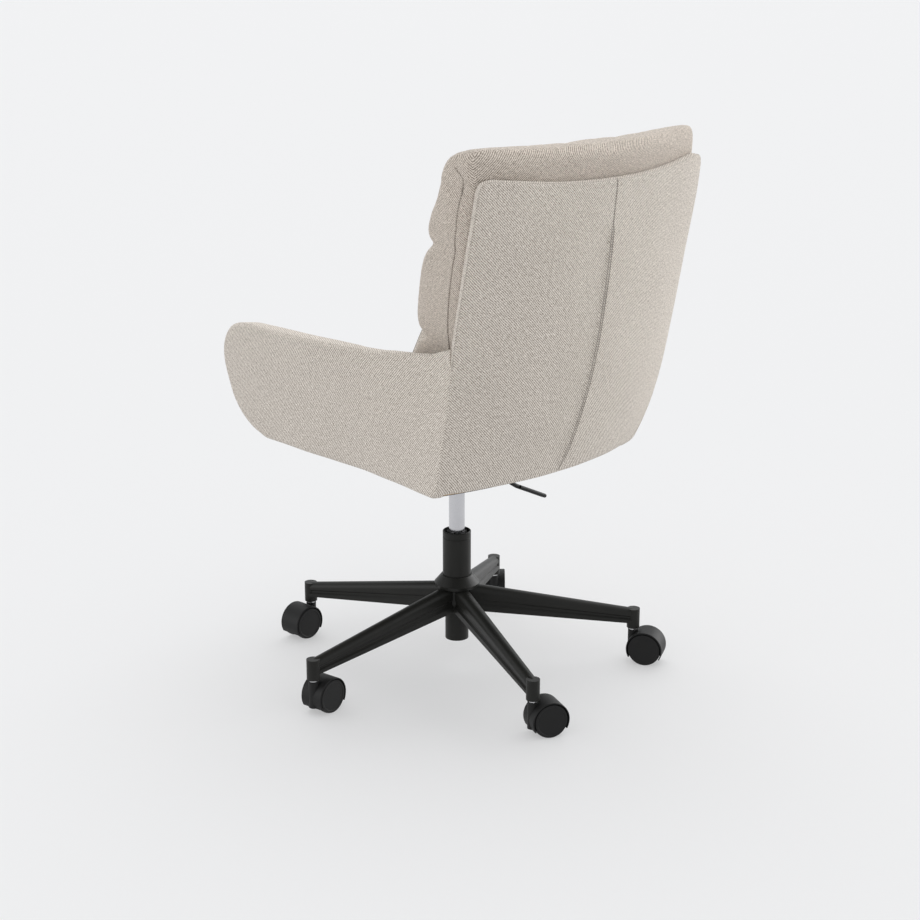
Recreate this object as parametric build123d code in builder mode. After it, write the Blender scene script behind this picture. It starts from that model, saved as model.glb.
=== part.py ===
"""Swivel office chair with an upholstered shell, channelled back cushion, gas lift and five-star base.

Millimetres, +Z up, +X is the sitter's left and the chair faces -Y.  The origin is on the floor under
the column axis.  Every finished piece is written to parts/ under its own name.
"""

import os
from math import cos, radians, sin

from build123d import *

os.makedirs("parts", exist_ok=True)

# ---------------------------------------------------------------- driving dimensions
# star base and casters
ARM_COUNT = 5
ARM_STEP = 360 / ARM_COUNT
FIRST_ARM = -2.96  # the first arm points almost straight to the sitter's left
STEM_CIRCLE = 320  # column axis to each caster stem
SOCKET_R, SOCKET_BOTTOM = 11.5, 65
ARM_ROOT = (20, 13, 112, 160)  # distance out, half width, underside, ridge
ARM_TIP = (STEM_CIRCLE, 10.5, 75, 101)
ARM_WALL = 2.5
CASTER_HEADINGS = (188, 157, 119, 226, 4)  # where each caster trails, one for each arm

WHEEL_R = 30
WHEEL_FACE = 21.7  # middle of the caster to a wheel's outer disc
RIM_INNER_FACE = 9.8
TRAIL = 24.7  # stem axis to axle
HOOD_R, HOOD_BORE_R, HOOD_HALF = 32.8, 30.8, 22
BOSS_R, BOSS_BOTTOM, BOSS_TOP = 9, 14, 61
STEM_R, SOCKET_BORE_R = 4, 5.5
AXLE_R = 3
FIT = 0.05  # radial running clearance of shafts in bores

# column
TUBE_R, TUBE_FOOT_R, TUBE_WALL = 25, 20.8, 2
TUBE_BOTTOM, TAPER_LOW, TAPER_HIGH, TUBE_TOP = 57, 107, 176, 259
FOOT_PLATE = 64  # underside of the plate that closes the tube
HUB_R, HUB_BOTTOM, HUB_TOP = 23.5, 108, 178
ROD_R, ROD_END_R = 5, 4
CYLINDER_R, CYLINDER_BORE_R = 14, 12
CYLINDER_BOTTOM, CYLINDER_SHOULDER, CYLINDER_TOP = 150, 340, 378
STROKE_UP = 35  # the seat rises this far from where it stands
BUSH_BOTTOM, BUSH_TOP = 176, 255
PIN_R, PIN_TOP = 3.5, 384.5

# seat mechanism
TRAY_X, TRAY_HALF_Y, TRAY_BOTTOM = (-62, 30), 30, 350
PLATE_SIZE, PLATE_THICK, PLATE_TOP = (150, 190), 3, 400
PLATE_BOLTS = (120, 160)
SHEET = 2.5
PIVOT = (-34, 387)  # lever pivot, x and z
LEVER_PATH = ((2, 389.5), PIVOT, (-66, 362), (-150, 308), (-216, 277))
LEVER_R = 4
GRIP_LENGTH, GRIP_WIDTH, GRIP_THICK = 76, 14, 7.5

# upholstered shell
BASE_BOTTOM, BASE_TOP = 398, 440
PAN_BOTTOM, PAN_THICK = 400, 12
SHELL_THICK = 15
# height, half width, y at the side edges, y at the middle of the back
BACK_LEVELS = (
    (400, 234, 183, 229),
    (440, 243, 203, 252),
    (500, 252, 227, 277),
    (570, 258, 244, 302),
    (654, 260.5, 260, 323),
    (790, 260, 289, 344),
    (920, 257, 314, 358),
)
BACK_TOP_ROUND = 26
# plan of an arm's outer face as (x, y), where it stands on the base and up at the arm's top
ARM_LOW = (440, ((200, -345), (218, -180), (225, 0), (230, 110), (243, 205)))
ARM_HIGH = (670, ((300, -345), (314, -180), (315, 0), (300, 140), (260, 263)))
ARM_THICK = (48, 48, 47, 38, 20)  # wall of the arm at each of those points
BOARD_THICK = 8

CUSHION_HALF = 262
SEAT_FRONT, SEAT_REAR, SEAT_TOP = -350, 74, 486


def write(name, builder):
    """Label a finished piece and write it as its own STEP file."""
    builder.part.label = name
    export_step(builder.part, f"parts/{name}.step")


def radial_plane(angle, distance):
    """Upright plane across an arm, with its own x to the side and y straight up."""
    out = (cos(radians(angle)), sin(radians(angle)), 0)
    side = (-out[1], out[0], 0)
    return Plane(origin=(distance * out[0], distance * out[1], 0), x_dir=side, z_dir=out)


def stem_point(index):
    """Centre of a caster stem on the floor plane."""
    angle = radians(FIRST_ARM + index * ARM_STEP)
    return STEM_CIRCLE * cos(angle), STEM_CIRCLE * sin(angle)


# ---------------------------------------------------------------- star base
def taper_profile(grow):
    """Half section of the stand tube's outside, from foot to mouth, grown by a clearance."""
    with BuildLine() as outline:
        Polyline(
            (0, TUBE_BOTTOM - 1),
            (TUBE_FOOT_R + grow, TUBE_BOTTOM - 1),
            (TUBE_FOOT_R + grow, TAPER_LOW),
            (TUBE_R + grow, TAPER_HIGH),
            (TUBE_R + grow, TUBE_TOP + 1),
            (0, TUBE_TOP + 1),
            close=True,
        )
    make_face(outline.edges())


def hub_profile(grow):
    """Half section of the hub's outside: a plain boss under a conical cap."""
    with BuildLine() as outline:
        Polyline(
            (0, HUB_BOTTOM - grow),
            (HUB_R + grow, HUB_BOTTOM - grow),
            (HUB_R + grow, 150),
            (38 + grow, 157),
            (40 + grow, 163),
            (27.5 + grow, HUB_TOP),
            (0, HUB_TOP),
            close=True,
        )
    make_face(outline.edges())


def channel_profile(half, low, high):
    """Section of a pressed arm: round ridge, a groove along each flank and a lip below."""
    height = high - low
    flank = [
        (half, low + 0.50 * height),
        (half - 2.2, low + 0.42 * height),
        (half - 2.2, low + 0.30 * height),
        (half + 0.8, low + 0.22 * height),
        (half + 0.8, low),
    ]
    with BuildLine() as outline:
        ThreePointArc((-half, high - half), (0, high), (half, high - half))
        Polyline((half, high - half), *flank)
        Line(flank[-1], (-flank[-1][0], low))
        Polyline(*[(-x, z) for x, z in reversed(flank)], (-half, high - half))
    make_face(outline.edges())


def cavity_profile(half, low, high):
    """Hollow of a pressed arm, open underneath."""
    inner = half - 2.2 - ARM_WALL
    with BuildLine() as outline:
        ThreePointArc((-inner, high - half), (0, high - half + inner), (inner, high - half))
        Polyline((inner, high - half), (inner, low - 1), (-inner, low - 1), (-inner, high - half))
    make_face(outline.edges())


with BuildPart() as star_hub:
    with BuildSketch(Plane.XZ):
        hub_profile(0)
    revolve(axis=Axis.Z)
    with BuildSketch(Plane.XZ):
        taper_profile(FIT)
    revolve(axis=Axis.Z, mode=Mode.SUBTRACT)
write("star_hub", star_hub)

for index in range(ARM_COUNT):
    angle = FIRST_ARM + index * ARM_STEP
    with BuildPart() as star_arm:
        for distance, half, low, high in (ARM_ROOT, ARM_TIP):
            with BuildSketch(radial_plane(angle, distance)):
                channel_profile(half, low, high)
        loft(ruled=True)
        stem = Location((*stem_point(index), SOCKET_BOTTOM))
        with Locations(stem):
            socket = Cylinder(
                SOCKET_R, ARM_TIP[3] - SOCKET_BOTTOM, align=(Align.CENTER, Align.CENTER, Align.MIN)
            )
        fillet(star_arm.edges().group_by(Axis.Z)[-1].filter_by(GeomType.CIRCLE), radius=2.5)
        # hollow of the channel, stopped short of the socket's wall
        for distance, half, low, high in (ARM_ROOT, ARM_TIP):
            reach = distance if distance < STEM_CIRCLE else STEM_CIRCLE - SOCKET_R
            with BuildSketch(radial_plane(angle, reach)):
                cavity_profile(half, low, high)
        loft(ruled=True, mode=Mode.SUBTRACT)
        with Locations(stem):
            Cylinder(
                SOCKET_BORE_R, 30, align=(Align.CENTER, Align.CENTER, Align.MIN), mode=Mode.SUBTRACT
            )
        with BuildSketch(Plane.XZ):
            hub_profile(FIT)
        revolve(axis=Axis.Z, mode=Mode.SUBTRACT)
    write(f"star_arm_{index + 1}", star_arm)


# ---------------------------------------------------------------- column
with BuildPart() as stand_tube:
    with BuildSketch(Plane.XZ):
        with BuildLine():
            Polyline(
                (TUBE_FOOT_R - TUBE_WALL, TUBE_BOTTOM),
                (TUBE_FOOT_R, TUBE_BOTTOM),
                (TUBE_FOOT_R, TAPER_LOW),
                (TUBE_R, TAPER_HIGH),
                (TUBE_R, TUBE_TOP - 1),
                (TUBE_R - 1, TUBE_TOP),
                (TUBE_R - TUBE_WALL, TUBE_TOP),
                (TUBE_R - TUBE_WALL, TAPER_HIGH),
                (TUBE_FOOT_R - TUBE_WALL, TAPER_LOW),
                (TUBE_FOOT_R - TUBE_WALL, FOOT_PLATE + 3),
                (ROD_END_R + FIT, FOOT_PLATE + 3),
                (ROD_END_R + FIT, FOOT_PLATE),
                (TUBE_FOOT_R - TUBE_WALL, FOOT_PLATE),
                close=True,
            )
        make_face()
    revolve(axis=Axis.Z)
    # shallow drawn ring under the mouth, where the guide bush is crimped in
    with BuildSketch(Plane.XZ):
        with Locations((TUBE_R, TUBE_TOP - 12)):
            Circle(0.8)
    revolve(axis=Axis.Z, mode=Mode.SUBTRACT)
write("stand_tube", stand_tube)

BUSH_R = TUBE_R - TUBE_WALL - FIT
with BuildPart() as guide_bush:
    with BuildSketch(Plane.XZ):
        with BuildLine():
            Polyline(
                (CYLINDER_R + FIT, BUSH_BOTTOM + 1),
                (BUSH_R, BUSH_BOTTOM + 1),
                (BUSH_R, BUSH_TOP),
                (BUSH_R - 1.5, BUSH_TOP),
                (BUSH_R - 1.5, BUSH_TOP - 5),
                (CYLINDER_R + 3.5, BUSH_TOP - 5),
                (CYLINDER_R + 3.5, BUSH_TOP + 3),
                (CYLINDER_R + FIT, BUSH_TOP + 3),
                close=True,
            )
        make_face()
    revolve(axis=Axis.Z)
    # crown of notches round the mouth that lets the collar spring
    with Locations((0, 0, BUSH_TOP + 2)):
        with PolarLocations(CYLINDER_R + 2, 12):
            Box(8, 2.2, 6, mode=Mode.SUBTRACT)
write("guide_bush", guide_bush)

with BuildPart() as lower_race:
    with Locations((0, 0, FOOT_PLATE + 3)):
        Cylinder(13.5, 2, align=(Align.CENTER, Align.CENTER, Align.MIN))
        Cylinder(
            ROD_END_R + 1, 2, align=(Align.CENTER, Align.CENTER, Align.MIN), mode=Mode.SUBTRACT
        )
write("lower_race", lower_race)

BALL_R, BALL_CIRCLE = 1.95, 9.2
BALL_LEVEL = FOOT_PLATE + 5 + FIT + BALL_R
with BuildPart() as bearing_balls:
    with Locations((0, 0, BALL_LEVEL)):
        with PolarLocations(BALL_CIRCLE, 10):
            Sphere(BALL_R)
write("bearing_balls", bearing_balls)

with BuildPart() as bearing_cage:
    with Locations((0, 0, BALL_LEVEL)):
        Cylinder(12.5, 1.4)
        Cylinder(6, 1.4, mode=Mode.SUBTRACT)
        with PolarLocations(BALL_CIRCLE, 10):
            Cylinder(BALL_R + 0.1, 1.4, mode=Mode.SUBTRACT)
write("bearing_cage", bearing_cage)

RACE_TOP = BALL_LEVEL + BALL_R + FIT + 2
with BuildPart() as upper_race:
    with Locations((0, 0, RACE_TOP)):
        Cylinder(13.5, 2, align=(Align.CENTER, Align.CENTER, Align.MAX))
        Cylinder(ROD_END_R, 2, align=(Align.CENTER, Align.CENTER, Align.MAX), mode=Mode.SUBTRACT)
write("upper_race", upper_race)

BUFFER_TOP = 84.5
with BuildPart() as bump_stop:
    with BuildSketch(Plane.XZ):
        with BuildLine():
            Polyline(
                (ROD_R, RACE_TOP),
                (11, RACE_TOP),
                (9, (RACE_TOP + BUFFER_TOP) / 2),
                (10.5, BUFFER_TOP),
                (ROD_R, BUFFER_TOP),
                close=True,
            )
        make_face()
    revolve(axis=Axis.Z)
write("bump_stop", bump_stop)

PISTON_LOW = CYLINDER_BOTTOM + 10 + STROKE_UP + 1
CLIP_BOTTOM = 60.4
with BuildPart() as piston_rod:
    with BuildSketch(Plane.XZ):
        with BuildLine():
            Polyline(
                (0, 58.2),
                (ROD_END_R - 0.6, 58.2),
                (ROD_END_R, 58.8),
                (ROD_END_R, CLIP_BOTTOM),
                (ROD_END_R - 1, CLIP_BOTTOM),
                (ROD_END_R - 1, CLIP_BOTTOM + 1.2),
                (ROD_END_R, CLIP_BOTTOM + 1.2),
                (ROD_END_R, RACE_TOP),
                (ROD_R, RACE_TOP),
                (ROD_R, PISTON_LOW),
                (0, PISTON_LOW),
                close=True,
            )
        make_face()
    revolve(axis=Axis.Z)
write("piston_rod", piston_rod)

with BuildPart() as rod_clip:
    with Locations((0, 0, CLIP_BOTTOM)):
        Cylinder(8.5, 1.2, align=(Align.CENTER, Align.CENTER, Align.MIN))
        Cylinder(
            ROD_END_R - 1, 1.2, align=(Align.CENTER, Align.CENTER, Align.MIN), mode=Mode.SUBTRACT
        )
    # mouth by which the clip is pushed onto the groove
    with Locations((6, 0, CLIP_BOTTOM + 0.6)):
        Box(12, 3.4, 2, mode=Mode.SUBTRACT)
write("rod_clip", rod_clip)

with BuildPart() as piston:
    with Locations((0, 0, PISTON_LOW)):
        Cylinder(CYLINDER_BORE_R - FIT, 10, align=(Align.CENTER, Align.CENTER, Align.MIN))
    fillet(piston.edges().filter_by(GeomType.CIRCLE), radius=0.8)
write("piston", piston)

with BuildPart() as cylinder_gland:
    with Locations((0, 0, CYLINDER_BOTTOM)):
        Cylinder(CYLINDER_BORE_R, 10, align=(Align.CENTER, Align.CENTER, Align.MIN))
        Cylinder(ROD_R + FIT, 10, align=(Align.CENTER, Align.CENTER, Align.MIN), mode=Mode.SUBTRACT)
write("cylinder_gland", cylinder_gland)

CONE_TOP_R = 13.1
PIN_BOTTOM = CYLINDER_SHOULDER + 8
with BuildPart() as gas_cylinder:
    with BuildSketch(Plane.XZ):
        with BuildLine():
            Polyline(
                (CYLINDER_BORE_R, CYLINDER_BOTTOM),
                (CYLINDER_R - 0.5, CYLINDER_BOTTOM),
                (CYLINDER_R, CYLINDER_BOTTOM + 0.5),
                (CYLINDER_R, CYLINDER_SHOULDER),
                (CONE_TOP_R, CYLINDER_TOP - 1),
                (CONE_TOP_R - 1, CYLINDER_TOP),
                (PIN_R + FIT, CYLINDER_TOP),
                (PIN_R + FIT, CYLINDER_SHOULDER),
                (0, CYLINDER_SHOULDER),
                (0, CYLINDER_SHOULDER - 4),
                (CYLINDER_BORE_R, CYLINDER_SHOULDER - 4),
                close=True,
            )
        make_face()
    revolve(axis=Axis.Z)
write("gas_cylinder", gas_cylinder)

with BuildPart() as release_pin:
    with Locations((0, 0, PIN_BOTTOM)):
        Cylinder(PIN_R, PIN_TOP - PIN_BOTTOM, align=(Align.CENTER, Align.CENTER, Align.MIN))
    fillet(release_pin.edges().sort_by(Axis.Z)[-1], radius=1)
write("release_pin", release_pin)


# ---------------------------------------------------------------- casters
# Each is modelled with its stem on the Z axis and its trail along +X, then set on its arm.
AXLE = Location((TRAIL, 0, WHEEL_R), (90, 0, 0))

with BuildPart() as hood:
    with Locations(AXLE):
        Cylinder(HOOD_R, 2 * HOOD_HALF)
    fillet(hood.edges().filter_by(GeomType.CIRCLE), radius=1.2)
    web_half = 2.5
    for side in (-1, 1):
        middle = side * (web_half + HOOD_HALF + 1) / 2
        with Locations(Location((TRAIL, middle, WHEEL_R), (90, 0, 0))):
            Cylinder(HOOD_BORE_R, HOOD_HALF + 1 - web_half, mode=Mode.SUBTRACT)
    # open below a chord line from about four to eight o'clock
    with BuildSketch(Plane.XZ):
        with BuildLine():
            Polyline(
                (TRAIL, WHEEL_R),
                (TRAIL + 60, WHEEL_R - 34.6),
                (TRAIL - 60, WHEEL_R - 34.6),
                close=True,
            )
        make_face()
    extrude(amount=HOOD_HALF + 2, both=True, mode=Mode.SUBTRACT)
    with Locations(AXLE):
        Cylinder(8, 2 * web_half)
    with Locations((0, 0, BOSS_BOTTOM)):
        Cylinder(BOSS_R, BOSS_TOP - BOSS_BOTTOM, align=(Align.CENTER, Align.CENTER, Align.MIN))
    with Locations((TRAIL / 2, 0, 28)):
        Box(TRAIL, 2 * web_half, 20)
    with Locations((0, 0, BOSS_TOP - 42)):
        Cylinder(
            STEM_R + FIT, 43, align=(Align.CENTER, Align.CENTER, Align.MIN), mode=Mode.SUBTRACT
        )
    with Locations(AXLE):
        Cylinder(AXLE_R, 20, mode=Mode.SUBTRACT)

with BuildPart() as axle:
    with Locations(AXLE):
        Cylinder(AXLE_R, 34)
    chamfer(axle.edges().filter_by(GeomType.CIRCLE), length=0.6)


def wheel_profile():
    """Half section of a wheel about the axle: cup with a crowned rim, closed disc and hub."""
    with BuildLine() as outline:
        Polyline((0, 17.5), (0, WHEEL_FACE - 0.6), (24, WHEEL_FACE - 0.6), (25, WHEEL_FACE))
        Line((25, WHEEL_FACE), (28.5, WHEEL_FACE))
        ThreePointArc(
            (28.5, WHEEL_FACE), (WHEEL_R, (WHEEL_FACE + RIM_INNER_FACE) / 2), (28.8, RIM_INNER_FACE)
        )
        Polyline(
            (28.8, RIM_INNER_FACE),
            (26.5, RIM_INNER_FACE),
            (26.5, WHEEL_FACE - 3),
            (7, WHEEL_FACE - 3),
            (7, web_half + 0.7),
            (AXLE_R + FIT, web_half + 0.7),
            (AXLE_R + FIT, 17.5),
            (0, 17.5),
        )
    make_face(outline.edges())


with BuildPart() as wheel_left:
    with BuildSketch(Plane.XY):
        wheel_profile()
    revolve(axis=Axis.Y)
with BuildPart() as wheel_right:
    add(wheel_left.part)
    mirror(about=Plane.XZ, mode=Mode.REPLACE)

TO_AXLE = Location((TRAIL, 0, WHEEL_R))
for index, heading in enumerate(CASTER_HEADINGS):
    seat_on_arm = Location((*stem_point(index), 0), (0, 0, heading))
    pieces = (
        ("hood", hood.part, seat_on_arm),
        ("axle", axle.part, seat_on_arm),
        ("wheel_left", wheel_left.part, seat_on_arm * TO_AXLE),
        ("wheel_right", wheel_right.part, seat_on_arm * TO_AXLE),
    )
    for name, shape, place in pieces:
        with BuildPart() as caster_piece:
            with Locations(place):
                add(shape)
        write(f"caster_{index + 1}_{name}", caster_piece)

with BuildPart() as caster_stems:
    with BuildSketch(Plane.XZ):
        with BuildLine():
            Polyline(
                (0, BOSS_TOP - 40),
                (STEM_R, BOSS_TOP - 40),
                (STEM_R, BOSS_TOP + 0.4),
                (7.5, BOSS_TOP + 0.4),
                (7.5, SOCKET_BOTTOM),
                (SOCKET_BORE_R - FIT, SOCKET_BOTTOM),
                (SOCKET_BORE_R - FIT, SOCKET_BOTTOM + 26),
                (SOCKET_BORE_R - 1.5, SOCKET_BOTTOM + 28),
                (0, SOCKET_BOTTOM + 28),
                close=True,
            )
        make_face()
    stem_solid = revolve(axis=Axis.Z, mode=Mode.PRIVATE)
    for index in range(ARM_COUNT):
        with Locations((*stem_point(index), 0)):
            add(stem_solid)
write("caster_stems", caster_stems)


# ---------------------------------------------------------------- seat mechanism
with BuildPart() as taper_socket:
    with BuildSketch(Plane.XZ):
        with BuildLine():
            Polyline(
                (CYLINDER_R + 0.02, CYLINDER_SHOULDER + 4),
                (19, CYLINDER_SHOULDER + 4),
                (20, CYLINDER_SHOULDER + 6),
                (20, CYLINDER_TOP - 1),
                (CONE_TOP_R + 0.12, CYLINDER_TOP - 1),
                close=True,
            )
        make_face()
    revolve(axis=Axis.Z)
write("taper_socket", taper_socket)

with BuildPart() as mechanism_plate:
    tray_size = (TRAY_X[1] - TRAY_X[0], 2 * TRAY_HALF_Y)
    tray_middle = sum(TRAY_X) / 2
    with BuildSketch(Plane.XY.offset(TRAY_BOTTOM)):
        with Locations((tray_middle, 0)):
            RectangleRounded(*tray_size, 8)
    extrude(amount=PLATE_TOP - TRAY_BOTTOM)
    with BuildSketch(Plane.XY.offset(PLATE_TOP - PLATE_THICK)):
        RectangleRounded(*PLATE_SIZE, 14)
    extrude(amount=PLATE_THICK)
    with BuildSketch(Plane.XY.offset(TRAY_BOTTOM + SHEET)):
        with Locations((tray_middle, 0)):
            RectangleRounded(tray_size[0] - 2 * SHEET, tray_size[1] - 2 * SHEET, 5.5)
    extrude(amount=PLATE_TOP, mode=Mode.SUBTRACT)
    with Locations((0, 0, TRAY_BOTTOM)):
        Cylinder(20, 12, mode=Mode.SUBTRACT)
    # slot in the side wall for the lever, and the pivot pin's two holes
    with Locations((TRAY_X[0], 0, 370)):
        Box(8, 18, 36, mode=Mode.SUBTRACT)
    with Locations(Location((PIVOT[0], 0, PIVOT[1]), (90, 0, 0))):
        Cylinder(3, 80, mode=Mode.SUBTRACT)
    with BuildSketch(Plane.XY.offset(PLATE_TOP)):
        with GridLocations(*PLATE_BOLTS, 2, 2):
            Circle(4.2)
    extrude(amount=-PLATE_THICK, mode=Mode.SUBTRACT)
write("mechanism_plate", mechanism_plate)

with BuildPart() as lever_pin:
    with Locations(Location((PIVOT[0], 0, PIVOT[1]), (90, 0, 0))):
        Cylinder(3 - 0.01, 2 * TRAY_HALF_Y + 4)
write("lever_pin", lever_pin)

with BuildPart() as plate_bolts:
    with BuildSketch(Plane.XY.offset(PLATE_TOP - PLATE_THICK)):
        with GridLocations(*PLATE_BOLTS, 2, 2):
            RegularPolygon(7.5, 6)
    extrude(amount=-5.5)
    with BuildSketch(Plane.XY.offset(PLATE_TOP - PLATE_THICK)):
        with GridLocations(*PLATE_BOLTS, 2, 2):
            Circle(4)
    extrude(amount=14)
write("plate_bolts", plate_bolts)

lever_points = [(x, 0, z) for x, z in LEVER_PATH]
tip, before_tip = Vector(*lever_points[-1]), Vector(*lever_points[-2])
grip_way = (tip - before_tip).normalized()
grip_start = tip + grip_way * 9 - grip_way * GRIP_LENGTH
with BuildPart() as lever_rod:
    with BuildLine() as rod_path:
        FilletPolyline(*lever_points, radius=24)
    with BuildSketch(Plane(origin=lever_points[0], z_dir=rod_path.line % 0)):
        Circle(LEVER_R)
    sweep()
    with Locations(Location((PIVOT[0], 0, PIVOT[1]), (90, 0, 0))):
        Cylinder(7, 12)
        Cylinder(3 + FIT, 12, mode=Mode.SUBTRACT)
write("lever_rod", lever_rod)

with BuildPart() as lever_grip:
    grip_plane = Plane(origin=grip_start, x_dir=(0, 1, 0), z_dir=grip_way)
    with BuildSketch(grip_plane):
        SlotOverall(GRIP_WIDTH, GRIP_THICK)
    extrude(amount=GRIP_LENGTH)
    fillet(lever_grip.faces().sort_by(Axis.X)[0].edges(), radius=3)
    with BuildSketch(grip_plane):
        Circle(LEVER_R)
    extrude(amount=(tip - grip_start).length, mode=Mode.SUBTRACT)
write("lever_grip", lever_grip)


# ---------------------------------------------------------------- upholstered shell
def between(level, lower, upper):
    """Linear blend of two rows whose first number is a height."""
    share = (level - lower[0]) / (upper[0] - lower[0])
    return [a + share * (b - a) for a, b in zip(lower[1:], upper[1:])]


def back_row(level):
    """Half width, side y and middle y of the back's outer face at a height."""
    for lower, upper in zip(BACK_LEVELS, BACK_LEVELS[1:]):
        if level <= upper[0]:
            break
    return between(min(level, BACK_LEVELS[-1][0]), lower, upper)


def arm_points(level):
    """Outer plan points of the left arm at a height."""
    share = (level - ARM_LOW[0]) / (ARM_HIGH[0] - ARM_LOW[0])
    return [
        (x0 + share * (x1 - x0), y0 + share * (y1 - y0))
        for (x0, y0), (x1, y1) in zip(ARM_LOW[1], ARM_HIGH[1])
    ]


def band(half, rear, front, corner=0):
    """Plan of a curved band; rear and front are (side y, middle y), corner rounds its front."""
    with BuildSketch() as plan:
        with BuildLine():
            ThreePointArc((-half, rear[0]), (0, rear[1]), (half, rear[0]))
            Line((half, rear[0]), (half, front[0]))
            ThreePointArc((half, front[0]), (0, front[1]), (-half, front[0]))
            Line((-half, front[0]), (-half, rear[0]))
        make_face()
        if corner:
            fillet(plan.vertices().group_by(Axis.Y)[0], radius=corner)
    return plan.sketch


def back_slab(rear, front):
    """Full-height curved slab between two surfaces set forward of the back's outer face."""
    with BuildPart() as slab:
        for level, half, side_y, middle_y in BACK_LEVELS:
            with BuildSketch(Plane.XY.offset(level)):
                add(band(half, (side_y - rear, middle_y - rear), (side_y - front, middle_y - front)))
        loft()
    return slab.part


def behind_back(gap):
    """Everything behind the shell's front face, less a gap, as a tool for trimming."""
    front, side, far = SHELL_THICK + gap, 90, 600
    with BuildPart() as space:
        for level, half, side_y, middle_y in BACK_LEVELS:
            left, right = (-half, side_y - front), (half, side_y - front)
            with BuildSketch(Plane.XY.offset(level)):
                with BuildLine():
                    ThreePointArc(left, (0, middle_y - front), right)
                    Polyline(
                        right,
                        (half + side, right[1]),
                        (half + side, far),
                        (-half - side, far),
                        (-half - side, left[1]),
                        left,
                    )
                make_face()
        loft()
    return space.part


def arm_wall(low, high, core=None, grow=0):
    """Left arm's leaning wall, or with core the board of that thickness in the middle of it."""
    with BuildPart() as wall:
        for level in (low, high):
            outer, inner = [], []
            for (x, y), thick in zip(arm_points(level), ARM_THICK):
                skin = (thick - core) / 2 if core else 0
                outer.append((x - skin + grow, y))
                inner.append((x - thick + skin - grow, y))
            with BuildSketch(Plane.XY.offset(level)):
                with BuildLine():
                    Spline(*outer)
                    Line(outer[-1], inner[-1])
                    Spline(*reversed(inner))
                    Line(inner[0], outer[0])
                make_face()
        loft(ruled=True)
    return wall.part


def seat_outline(inset):
    """Plan of the seat base, set in all round."""
    half_front, half_middle, half_rear = 200 - inset, 224 - inset, 242 - inset
    with BuildSketch() as plan:
        with BuildLine():
            Line((-half_front, inset - 345), (half_front, inset - 345))
            ThreePointArc((half_front, inset - 345), (half_middle, -60), (half_rear, 202))
            ThreePointArc((half_rear, 202), (0, 252 - inset), (-half_rear, 202))
            ThreePointArc((-half_rear, 202), (-half_middle, -60), (-half_front, inset - 345))
        make_face()
        fillet(plan.vertices().group_by(Axis.Y)[0], radius=52)
    return plan.sketch


PAN_INSET = 42
with BuildPart() as seat_pan:
    with BuildSketch(Plane.XY.offset(PAN_BOTTOM)):
        add(seat_outline(PAN_INSET))
        with GridLocations(*PLATE_BOLTS, 2, 2):
            Circle(4.2, mode=Mode.SUBTRACT)
    extrude(amount=PAN_THICK)
write("seat_pan", seat_pan)

with BuildPart() as dust_cover:
    with BuildSketch(Plane.XY.offset(PAN_BOTTOM - 1.2)):
        add(seat_outline(PAN_INSET + 1))
        RectangleRounded(PLATE_SIZE[0] + 6, PLATE_SIZE[1] + 6, 16, mode=Mode.SUBTRACT)
    extrude(amount=1)
write("dust_cover", dust_cover)

BOARD_LOW = PAN_BOTTOM + PAN_THICK
BOARD_INSET = 16
BACK_BOARD_TOP, ARM_BOARD_TOP = 895, 600
ARM_BOARD_ENDS = (-235, 140)
with BuildPart() as back_board:
    add(back_slab(4, 4 + BOARD_THICK))
    low_half = back_row(BOARD_LOW)[0] - BOARD_INSET
    high_half = back_row(BACK_BOARD_TOP)[0] - BOARD_INSET
    with BuildSketch(Plane.XZ):
        with BuildLine():
            Polyline(
                (-low_half, BOARD_LOW),
                (low_half, BOARD_LOW),
                (high_half, BACK_BOARD_TOP),
                (-high_half, BACK_BOARD_TOP),
                close=True,
            )
        make_face()
    extrude(amount=900, both=True, mode=Mode.INTERSECT)
write("back_board", back_board)

with BuildPart() as arm_board_left:
    add(arm_wall(BOARD_LOW, ARM_BOARD_TOP, core=BOARD_THICK))
    with Locations((200, (ARM_BOARD_ENDS[0] + ARM_BOARD_ENDS[1]) / 2, 500)):
        Box(400, ARM_BOARD_ENDS[1] - ARM_BOARD_ENDS[0], 400, mode=Mode.INTERSECT)
write("arm_board_left", arm_board_left)
with BuildPart() as arm_board_right:
    add(arm_board_left.part)
    mirror(about=Plane.YZ, mode=Mode.REPLACE)
write("arm_board_right", arm_board_right)

with BuildPart() as seat_base:
    for level, inset in ((BASE_BOTTOM, 14), (414, 3), (BASE_TOP, 0)):
        with BuildSketch(Plane.XY.offset(level)):
            add(seat_outline(inset))
    loft()
    with BuildSketch(Plane.XY.offset(BASE_BOTTOM - 5)):
        add(seat_outline(PAN_INSET - 0.3))
    extrude(amount=BOARD_LOW - BASE_BOTTOM + 5, mode=Mode.SUBTRACT)
    add(back_board.part, mode=Mode.SUBTRACT)
    add(arm_board_left.part, mode=Mode.SUBTRACT)
    add(arm_board_right.part, mode=Mode.SUBTRACT)
write("seat_base", seat_base)

with BuildPart() as back_shell:
    add(back_slab(0, SHELL_THICK))
    top_half, shell_top = BACK_LEVELS[-1][1], BACK_LEVELS[-1][0]
    with BuildSketch(Plane.XZ) as elevation:
        with Locations((0, shell_top - 300)):
            Rectangle(2 * top_half, 600)
        fillet(elevation.vertices().group_by(Axis.Y)[-1], radius=BACK_TOP_ROUND)
    extrude(amount=900, both=True, mode=Mode.INTERSECT)
    with Locations((0, 200, BASE_TOP - 100)):
        Box(900, 900, 200, mode=Mode.SUBTRACT)
    add(back_board.part, mode=Mode.SUBTRACT)
write("back_shell", back_shell)

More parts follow.
